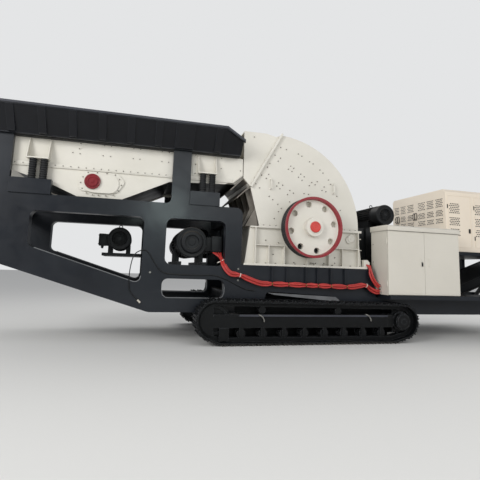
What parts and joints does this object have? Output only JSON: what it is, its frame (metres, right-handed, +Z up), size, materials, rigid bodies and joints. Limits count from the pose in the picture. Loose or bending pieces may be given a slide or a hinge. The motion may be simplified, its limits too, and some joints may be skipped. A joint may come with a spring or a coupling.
{
  "type": "tracked mobile crusher",
  "caption": "Tracked mobile rotor crusher with feed hopper, vibrating feeder, flywheel, belt guard, control cabinet, generator enclosure and discharge belt.",
  "frame": {"origin": "on the ground under the middle of the machine, midway between hopper end and belt head and between the crawler tracks", "axes": "+X with the material, from hopper to discharge belt; -Y towards the flywheel side; +Z up"},
  "size_m": [14.4999, 3, 4.2169],
  "materials": {
    "frame_paint": "semi-gloss dark slate paint",
    "black_paint": "semi-gloss black paint",
    "hopper_paint": "semi-gloss blue-black paint",
    "cream_paint": "semi-gloss off-white paint",
    "cabinet_paint": "fine texture warm grey powder coat",
    "generator_paint": "fine texture cream powder coat",
    "red_paint": "semi-gloss dark red paint",
    "track_steel": "black painted cast steel, worn at the edges",
    "wear_steel": "scaled wear steel",
    "plate_steel": "bare folded plate",
    "motor_paint": "black motor paint",
    "roller_steel": "turned steel",
    "belt_rubber": "black rubber",
    "cable_red": "red cable sheath",
    "box_grey": "light grey paint"
  },
  "bodies": {
    "machine": {"frame_side_near": "frame_paint", "frame_side_far": "frame_paint", "frame_cross_members": "black_paint", "undercarriage_beams": "black_paint", "track_beam_near": "track_steel", "track_beam_far": "track_steel", "track_chain_near": "track_steel", "track_chain_far": "track_steel", "drive_sprocket_near": "track_steel", "drive_sprocket_far": "track_steel", "idler_wheel_near": "track_steel", "idler_wheel_far": "track_steel", "track_rollers_near": "track_steel", "track_rollers_far": "track_steel", "crusher_base": "cream_paint", "crusher_hood": "cream_paint", "crusher_inlet_hood": "cream_paint", "crusher_front_wall": "plate_steel", "outlet_chute": "plate_steel", "bearing_housings": "cream_paint", "drive_belts": "belt_rubber", "belt_guard": "black_paint", "left_motor": "motor_paint", "left_motor_base": "black_paint", "right_motor": "motor_paint", "right_motor_stand": "black_paint", "feeder_motor": "motor_paint", "feeder_motor_shelf": "black_paint", "feeder_trough": "cream_paint", "feeder_exciter": "cream_paint", "exciter_caps": "red_paint", "feeder_springs": "belt_rubber", "spring_seats": "frame_paint", "hopper_wall_near": "hopper_paint", "hopper_wall_far": "hopper_paint", "hopper_wall_rear": "hopper_paint", "front_deck": "frame_paint", "control_cabinet": "cabinet_paint", "generator_platform": "frame_paint", "generator_enclosure": "generator_paint", "generator_roof": "generator_paint", "conveyor_frame": "black_paint", "conveyor_belt": "belt_rubber", "conveyor_pulleys": "roller_steel", "junction_box": "box_grey", "motor_cables": "cable_red"},
    "rotor_set": {"rotor": "wear_steel", "flywheel": "cream_paint", "drive_pulley": "cream_paint"},
    "door_left": {"cabinet_door_left": "cabinet_paint"},
    "door_right": {"cabinet_door_right": "cabinet_paint"}
  },
  "joints": [
    {"name": "rotor_spin", "type": "hinge", "parent": "machine", "child": "rotor_set", "pos_m": [-0.78, 0, 2.23], "axis": [0, 1, 0], "continuous": true},
    {"name": "door_left_hinge", "type": "hinge", "parent": "machine", "child": "door_left", "pos_m": [0.829, -1.418, 1.6], "axis": [0, 0, 1], "range_deg": [-105, 0]},
    {"name": "door_right_hinge", "type": "hinge", "parent": "machine", "child": "door_right", "pos_m": [2.591, -1.418, 1.6], "axis": [0, 0, 1], "range_deg": [0, 105]}
  ]
}
